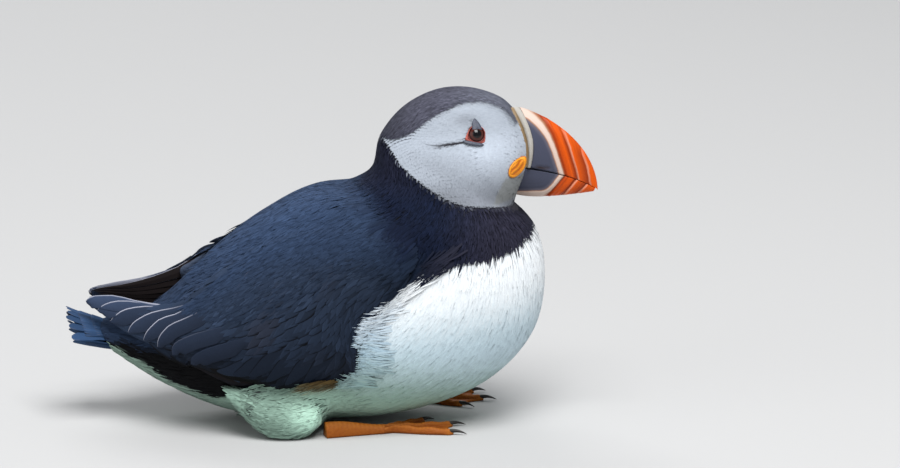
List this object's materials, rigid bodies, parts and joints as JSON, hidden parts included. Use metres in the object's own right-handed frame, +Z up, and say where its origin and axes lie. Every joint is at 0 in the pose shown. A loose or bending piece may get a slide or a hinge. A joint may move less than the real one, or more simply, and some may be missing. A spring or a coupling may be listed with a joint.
{
  "type": "atlantic puffin",
  "caption": "Life-size still model of a stocky seabird with a deep triangular bill, crouched on webbed feet with folded wings.",
  "frame": {"origin": "middle of the bounding box's base, on the ground under the belly", "axes": "+X forward, the way the bird looks; +Y to the bird's left; +Z up"},
  "size_m": [0.222, 0.0908, 0.1402],
  "materials": {
    "black_plumage": "soft, slightly glossy slate-black feathers",
    "white_plumage": "soft silky white feathers",
    "bill_horn": "satin horn, slate-blue at the base and orange-red toward the tip",
    "bill_rim": "pale waxy horn",
    "gape_rosette": "wrinkled orange-yellow skin",
    "eye": "wet gloss",
    "eye_plate": "blue-grey horn",
    "foot_skin": "scaly orange skin",
    "claw": "dark horn"
  },
  "bodies": {
    "root": {"head": "white_plumage", "neck": "black_plumage", "trunk": "white_plumage", "rump": "black_plumage", "tail": "black_plumage", "wing_right": "black_plumage", "quills_right": "black_plumage", "wing_left": "black_plumage", "quills_left": "black_plumage", "bill_upper": "bill_horn", "bill_lower": "bill_horn", "bill_rim": "bill_rim", "rosette_right": "gape_rosette", "rosette_left": "gape_rosette", "eye_right": "eye", "eye_left": "eye", "eye_plate_upper_right": "eye_plate", "eye_plate_upper_left": "eye_plate", "eye_plate_lower_right": "eye_plate", "eye_plate_lower_left": "eye_plate", "shank_right": "white_plumage", "shank_left": "white_plumage", "tarsus_right": "foot_skin", "tarsus_left": "foot_skin", "foot_right": "foot_skin", "foot_left": "foot_skin", "claw_inner_right": "claw", "claw_middle_right": "claw", "claw_outer_right": "claw", "claw_inner_left": "claw", "claw_middle_left": "claw", "claw_outer_left": "claw"}
  },
  "joints": []
}
